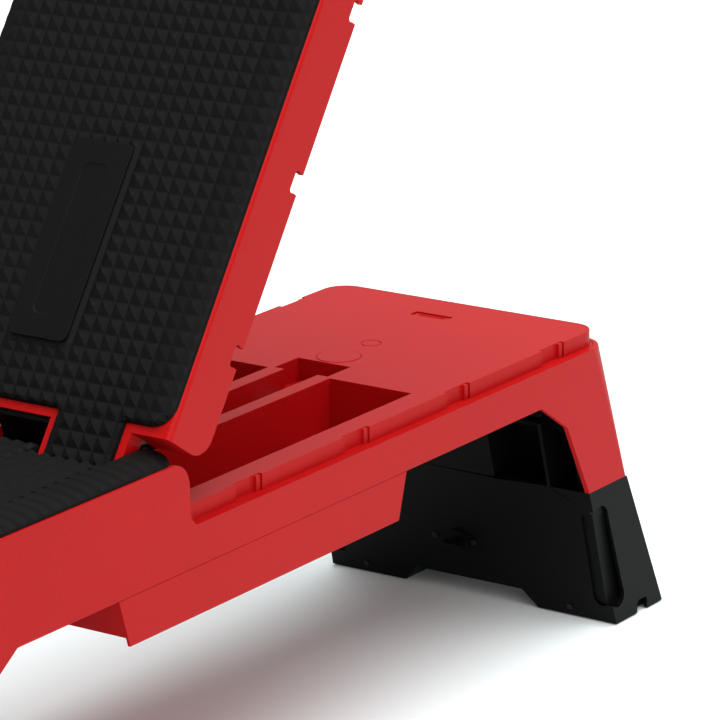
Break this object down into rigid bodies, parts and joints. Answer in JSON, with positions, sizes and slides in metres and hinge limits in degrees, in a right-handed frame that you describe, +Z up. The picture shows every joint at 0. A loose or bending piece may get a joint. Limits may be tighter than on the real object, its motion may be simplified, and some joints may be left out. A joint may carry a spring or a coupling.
{
  "type": "adjustable step bench",
  "caption": "Deck bench with a lifting padded backrest on a folding prop, a storage tray under the step, a padded seat and two legs that fold in under the deck.",
  "frame": {"origin": "on the floor under the middle of the bench, midway between its two legs", "axes": "+X along the bench from the seat to the step, +Y across it to the far side, +Z up"},
  "size_m": [1.2098, 0.352, 0.9403],
  "materials": {
    "red_plastic": "fine-grained moulded plastic, satin",
    "black_plastic": "moulded black plastic, satin",
    "mat_rubber": "moulded foam rubber with square pyramids, matt",
    "badge_rubber": "smooth black, satin",
    "steel": "zinc-plated steel",
    "dark_steel": "black powder coat",
    "rubber_feet": "matt rubber"
  },
  "bodies": {
    "deck": {"deck_frame": "red_plastic", "step_deck": "red_plastic", "step_disc": "red_plastic", "step_slot_cover": "red_plastic", "storage_tray": "red_plastic", "channel_insert": "red_plastic", "prop_ramps": "black_plastic", "seat_panel": "red_plastic", "under_ribs": "red_plastic", "seat_mat": "mat_rubber", "hinge_center_block": "black_plastic", "hinge_rod": "steel", "hinge_collars": "black_plastic", "axle_brackets": "black_plastic", "axle_bracket_screws": "steel", "leg_axle_right": "steel", "leg_axle_left": "steel", "leg_stop_pads": "rubber_feet", "latch_keepers": "black_plastic"},
    "backrest": {"backrest_shell": "red_plastic", "backrest_ribs": "red_plastic", "backrest_mat": "mat_rubber", "badge_plate": "badge_rubber", "hinge_bushes": "black_plastic", "hinge_cover": "black_plastic", "prop_brackets": "black_plastic", "bracket_screws": "steel", "prop_pin": "steel", "prop_clip": "black_plastic"},
    "prop": {"prop_strut": "dark_steel", "prop_crossbar": "steel", "prop_sleeves": "rubber_feet"},
    "leg_right": {"leg_right": "black_plastic", "leg_right_pads": "rubber_feet", "leg_right_screws": "dark_steel"},
    "leg_left": {"leg_left": "black_plastic", "leg_left_pads": "rubber_feet", "leg_left_screws": "dark_steel"},
    "knob_right": {"knob_right": "black_plastic", "knob_right_bolt": "dark_steel"},
    "knob_left": {"knob_left": "black_plastic", "knob_left_bolt": "dark_steel"}
  },
  "joints": [
    {"name": "backrest_lift", "type": "hinge", "parent": "deck", "child": "backrest", "pos_m": [-0.1984, 0, 0.3414], "axis": [0, -1, 0], "range_deg": [-55.4, 20]},
    {"name": "prop_swing", "type": "hinge", "parent": "backrest", "child": "prop", "pos_m": [-0.07049, 0, 0.51801], "axis": [0, -1, 0], "range_deg": [-41.5, 114]},
    {"name": "leg_right_fold", "type": "hinge", "parent": "deck", "child": "leg_right", "pos_m": [0.4845, 0, 0.218], "axis": [0, 1, 0], "range_deg": [0, 104]},
    {"name": "leg_left_fold", "type": "hinge", "parent": "deck", "child": "leg_left", "pos_m": [-0.4845, 0, 0.218], "axis": [0, -1, 0], "range_deg": [0, 104]},
    {"name": "knob_right_turn", "type": "hinge", "parent": "leg_right", "child": "knob_right", "pos_m": [0.50115, 0.003, 0.064], "axis": [-0.9689, 0, -0.2475], "range_deg": [0, 90]},
    {"name": "knob_left_turn", "type": "hinge", "parent": "leg_left", "child": "knob_left", "pos_m": [-0.50115, 0.003, 0.064], "axis": [0.9689, 0, -0.2475], "range_deg": [0, 90]}
  ],
  "couplings": [
    {"joint": "prop_swing", "follows": "backrest_lift", "ratio": -2.05}
  ]
}
